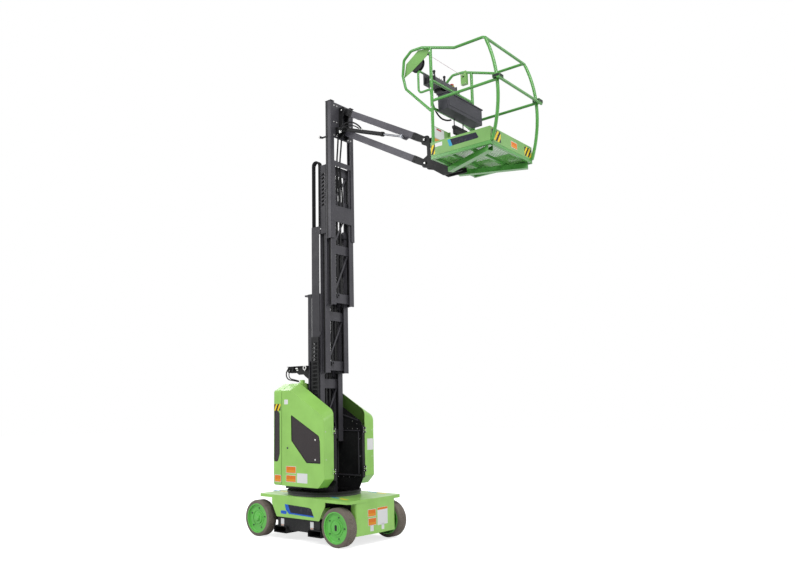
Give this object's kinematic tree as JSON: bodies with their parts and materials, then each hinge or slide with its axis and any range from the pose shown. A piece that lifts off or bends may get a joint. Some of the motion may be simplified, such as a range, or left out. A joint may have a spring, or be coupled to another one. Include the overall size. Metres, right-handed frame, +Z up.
{
  "type": "vertical mast lift",
  "caption": "Self-propelled vertical mast lift: small wheeled chassis, slewing turret with hinged cowls, telescoping mast, parallelogram jib and a one-person basket.",
  "frame": {"origin": "on the turret slew axis at floor level", "axes": "+X towards the jib and basket, +Y to the left, +Z up"},
  "size_m": [3.5795, 1.002, 5.2539],
  "materials": {
    "mast_grey": "satin",
    "dark_grey": "satin",
    "green": "gloss",
    "rail_green": "gloss",
    "black": "satin",
    "tyre": "matte",
    "steel": "satin",
    "chrome": "polished",
    "black_plastic": "matte",
    "floor": "matte"
  },
  "bodies": {
    "chassis": {"chassis_frame": "black", "chassis_cover": "green", "fork_pockets": "black", "slew_ring": "dark_grey", "rear_axle": "black", "drive_units": "black"},
    "wheel_front_left": {"tyre_front_left": "tyre", "rim_front_left": "green"},
    "wheel_front_right": {"tyre_front_right": "tyre", "rim_front_right": "green"},
    "steer_left": {"knuckle_left": "black"},
    "steer_right": {"knuckle_right": "black"},
    "wheel_rear_left": {"tyre_rear_left": "tyre", "rim_rear_left": "green"},
    "wheel_rear_right": {"tyre_rear_right": "tyre", "rim_rear_right": "green"},
    "turret": {"turntable": "black", "mast_section_1": "mast_grey", "side_frames": "dark_grey", "rear_cover": "green", "battery_block": "dark_grey", "lift_rams": "chrome", "hinge_leaves": "steel", "hose_guides": "black", "cover_mesh": "black", "lift_chain_1": "steel"},
    "side_door_left": {"door_left": "green", "door_mesh_left": "black", "hinges_moving_left": "steel"},
    "side_door_right": {"door_right": "green", "door_mesh_right": "black", "hinges_moving_right": "steel"},
    "mast_2": {"mast_section_2": "mast_grey", "lift_barrels": "mast_grey", "hose_trough_2": "dark_grey", "lift_chain_2": "steel"},
    "mast_3": {"mast_section_3": "mast_grey", "hose_trough_3": "dark_grey", "hose_loop": "black_plastic", "lift_chain_3": "steel"},
    "mast_4": {"mast_section_4": "mast_grey", "hose_trough_4": "dark_grey", "lift_chain_4": "steel"},
    "carriage": {"mast_section_5": "mast_grey", "mast_head": "black"},
    "jib_upper": {"jib_upper_arm": "dark_grey"},
    "jib_lower": {"jib_lower_arm": "dark_grey"},
    "jib_barrel": {"jib_cylinder_barrel": "black"},
    "jib_rod": {"jib_cylinder_rod": "chrome"},
    "basket": {"basket_carrier": "black", "floor_beams": "rail_green", "basket_floor": "floor", "toe_boards": "green", "corner_posts": "rail_green", "top_rails": "rail_green", "cross_rails": "rail_green", "console": "black_plastic", "tool_tray": "black_plastic", "switch_plates": "green"},
    "entry_bar": {"entry_bar": "floor"}
  },
  "joints": [
    {"name": "turret_slew", "type": "hinge", "parent": "chassis", "child": "turret", "pos_m": [0, 0, 0.5], "axis": [0, 0, 1], "range_deg": [-172, 172]},
    {"name": "front_left_spin", "type": "hinge", "parent": "chassis", "child": "wheel_front_left", "pos_m": [0.612, 0.4315, 0.203], "axis": [0, 1, 0], "continuous": true},
    {"name": "front_right_spin", "type": "hinge", "parent": "chassis", "child": "wheel_front_right", "pos_m": [0.612, -0.4315, 0.203], "axis": [0, 1, 0], "continuous": true},
    {"name": "steer_left", "type": "hinge", "parent": "chassis", "child": "steer_left", "pos_m": [-0.612, 0.35, 0.203], "axis": [0, 0, 1], "range_deg": [-55, 55]},
    {"name": "steer_right", "type": "hinge", "parent": "chassis", "child": "steer_right", "pos_m": [-0.612, -0.35, 0.203], "axis": [0, 0, 1], "range_deg": [-55, 55]},
    {"name": "rear_left_spin", "type": "hinge", "parent": "steer_left", "child": "wheel_rear_left", "pos_m": [-0.612, 0.4315, 0.203], "axis": [0, 1, 0], "continuous": true},
    {"name": "rear_right_spin", "type": "hinge", "parent": "steer_right", "child": "wheel_rear_right", "pos_m": [-0.612, -0.4315, 0.203], "axis": [0, 1, 0], "continuous": true},
    {"name": "door_left_hinge", "type": "hinge", "parent": "turret", "child": "side_door_left", "pos_m": [0.4075, 0.269, 0.98], "axis": [0, 0, -1], "range_deg": [0, 100]},
    {"name": "door_right_hinge", "type": "hinge", "parent": "turret", "child": "side_door_right", "pos_m": [0.4075, -0.269, 0.98], "axis": [0, 0, 1], "range_deg": [0, 100]},
    {"name": "mast_lift", "type": "slide", "parent": "turret", "child": "mast_2", "axis": [0, 0, 1], "range_m": [-0.785, 0.56]},
    {"name": "mast_lift_3", "type": "slide", "parent": "mast_2", "child": "mast_3", "axis": [0, 0, 1], "range_m": [-0.785, 0.56]},
    {"name": "mast_lift_4", "type": "slide", "parent": "mast_3", "child": "mast_4", "axis": [0, 0, 1], "range_m": [-0.785, 0.56]},
    {"name": "mast_lift_5", "type": "slide", "parent": "mast_4", "child": "carriage", "axis": [0, 0, 1], "range_m": [-0.785, 0.56]},
    {"name": "jib_lift", "type": "hinge", "parent": "carriage", "child": "jib_upper", "pos_m": [0.392, 0, 5.048], "axis": [0, -1, 0], "range_deg": [-30, 90]},
    {"name": "jib_lower_lift", "type": "hinge", "parent": "carriage", "child": "jib_lower", "pos_m": [0.392, 0, 4.778], "axis": [0, -1, 0], "range_deg": [-30, 90]},
    {"name": "basket_level", "type": "hinge", "parent": "jib_upper", "child": "basket", "pos_m": [1.58984, 0, 4.36476], "axis": [0, -1, 0], "range_deg": [-90, 30]},
    {"name": "jib_cylinder_tilt", "type": "hinge", "parent": "carriage", "child": "jib_barrel", "pos_m": [0.475, -0.082, 4.772], "axis": [0, -1, 0], "range_deg": [-31, 92]},
    {"name": "jib_cylinder_stroke", "type": "slide", "parent": "jib_barrel", "child": "jib_rod", "axis": [0.9384, 0, -0.3456], "range_m": [-0.14, 0.42]},
    {"name": "entry_bar_lift", "type": "hinge", "parent": "basket", "child": "entry_bar", "pos_m": [1.22413, 0, 4.49782], "axis": [0, -1, 0], "range_deg": [0, 10]}
  ],
  "couplings": [
    {"joint": "steer_right", "follows": "steer_left", "ratio": 1},
    {"joint": "mast_lift_3", "follows": "mast_lift", "ratio": 1},
    {"joint": "mast_lift_4", "follows": "mast_lift", "ratio": 1},
    {"joint": "mast_lift_5", "follows": "mast_lift", "ratio": 1},
    {"joint": "jib_lower_lift", "follows": "jib_lift", "ratio": 1},
    {"joint": "basket_level", "follows": "jib_lift", "ratio": -1},
    {"joint": "jib_cylinder_tilt", "follows": "jib_lift", "ratio": 1.016},
    {"joint": "jib_cylinder_stroke", "follows": "jib_lift", "m_per_rad": 0.263}
  ]
}
